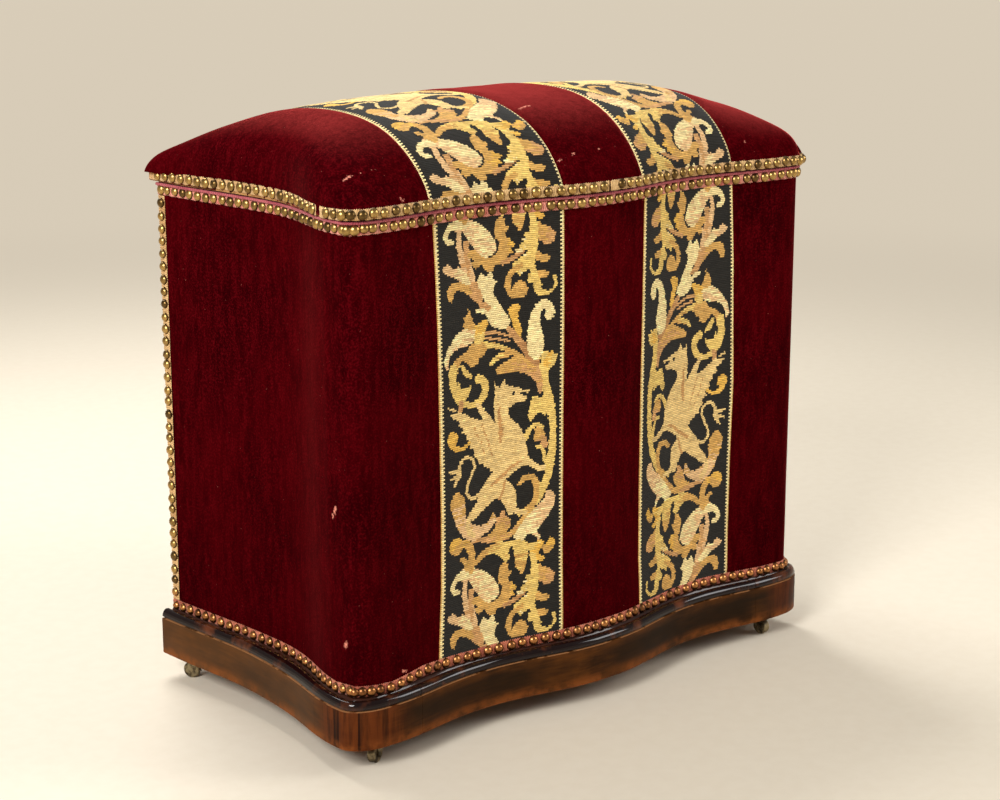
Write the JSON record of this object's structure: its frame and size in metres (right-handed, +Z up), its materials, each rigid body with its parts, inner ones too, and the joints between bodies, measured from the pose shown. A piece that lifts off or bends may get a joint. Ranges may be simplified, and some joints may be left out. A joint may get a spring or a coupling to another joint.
{
  "type": "storage ottoman",
  "caption": "Upright storage ottoman with a serpentine box on a moulded plinth, a hinged domed and stuffed lid, velvet cover with needlework bands, and small castors.",
  "frame": {"origin": "centre of the footprint box, on the floor under the castor wheels", "axes": "+X to the right seen from the front, +Y to the hinged back, +Z up"},
  "size_m": [0.62, 0.3616, 0.594],
  "materials": {
    "rosewood": "worn varnish",
    "ebonised": "gloss",
    "pine": "plain",
    "velvet": "pile",
    "needlework": "stitched",
    "tan_braid": "woven",
    "pink_braid": "woven",
    "cotton": "woven",
    "stuffing": "loose fibre",
    "lining": "woven",
    "brass": "aged",
    "iron": "dull"
  },
  "bodies": {
    "box": {"plinth_front": "rosewood", "plinth_corner_left": "rosewood", "plinth_corner_right": "rosewood", "plinth_left": "rosewood", "plinth_right": "rosewood", "plinth_back": "rosewood", "moulding_left": "ebonised", "moulding_front": "ebonised", "moulding_right": "ebonised", "box_front": "pine", "box_post_left": "pine", "box_post_right": "pine", "box_left": "pine", "box_right": "pine", "box_back": "pine", "base_board": "pine", "box_velvet_left": "velvet", "box_velvet_middle": "velvet", "box_velvet_right": "velvet", "box_band_left": "needlework", "box_band_right": "needlework", "corner_gimp_left": "tan_braid", "corner_gimp_right": "tan_braid", "base_gimp": "pink_braid", "box_gimp": "pink_braid", "box_cord": "pink_braid", "back_cloth": "cotton", "box_lining": "lining", "hinge_box_leaf_left": "brass", "hinge_box_leaf_right": "brass", "castor_plate_front_left": "iron", "castor_plate_front_right": "iron", "castor_plate_back_left": "iron", "castor_plate_back_right": "iron"},
    "lid": {"lid_board": "pine", "lid_velvet_left": "velvet", "lid_velvet_middle": "velvet", "lid_velvet_right": "velvet", "lid_band_left": "needlework", "lid_band_right": "needlework", "lid_gimp": "tan_braid", "lid_pad": "stuffing", "lid_lining": "lining", "hinge_lid_leaf_left": "brass", "hinge_lid_leaf_right": "brass"},
    "castor_front_left": {"castor_horn_front_left": "iron"},
    "wheel_front_left": {"castor_wheel_front_left": "iron"},
    "castor_front_right": {"castor_horn_front_right": "iron"},
    "wheel_front_right": {"castor_wheel_front_right": "iron"},
    "castor_back_left": {"castor_horn_back_left": "iron"},
    "wheel_back_left": {"castor_wheel_back_left": "iron"},
    "castor_back_right": {"castor_horn_back_right": "iron"},
    "wheel_back_right": {"castor_wheel_back_right": "iron"}
  },
  "joints": [
    {"name": "lid_hinge", "type": "hinge", "parent": "box", "child": "lid", "pos_m": [0, 0.1778, 0.505], "axis": [-1, 0, 0], "range_deg": [0, 100]},
    {"name": "castor_swivel_front_left", "type": "hinge", "parent": "box", "child": "castor_front_left", "pos_m": [-0.262, -0.1425, 0.0204], "axis": [0, 0, 1], "continuous": true},
    {"name": "castor_roll_front_left", "type": "hinge", "parent": "castor_front_left", "child": "wheel_front_left", "pos_m": [-0.26834, -0.14546, 0.0085], "axis": [0.4226, -0.9063, 0], "continuous": true},
    {"name": "castor_swivel_front_right", "type": "hinge", "parent": "box", "child": "castor_front_right", "pos_m": [0.262, -0.1425, 0.0204], "axis": [0, 0, 1], "continuous": true},
    {"name": "castor_roll_front_right", "type": "hinge", "parent": "castor_front_right", "child": "wheel_front_right", "pos_m": [0.26224, -0.1495, 0.0085], "axis": [0.9994, 0.0349, 0], "continuous": true},
    {"name": "castor_swivel_back_left", "type": "hinge", "parent": "box", "child": "castor_back_left", "pos_m": [-0.268, 0.1442, 0.0204], "axis": [0, 0, 1], "continuous": true},
    {"name": "castor_roll_back_left", "type": "hinge", "parent": "castor_back_left", "child": "wheel_back_left", "pos_m": [-0.27171, 0.15014, 0.0085], "axis": [-0.848, -0.5299, 0], "continuous": true},
    {"name": "castor_swivel_back_right", "type": "hinge", "parent": "box", "child": "castor_back_right", "pos_m": [0.268, 0.1442, 0.0204], "axis": [0, 0, 1], "continuous": true},
    {"name": "castor_roll_back_right", "type": "hinge", "parent": "castor_back_right", "child": "wheel_back_right", "pos_m": [0.27336, 0.1487, 0.0085], "axis": [-0.6428, 0.766, 0], "continuous": true}
  ]
}
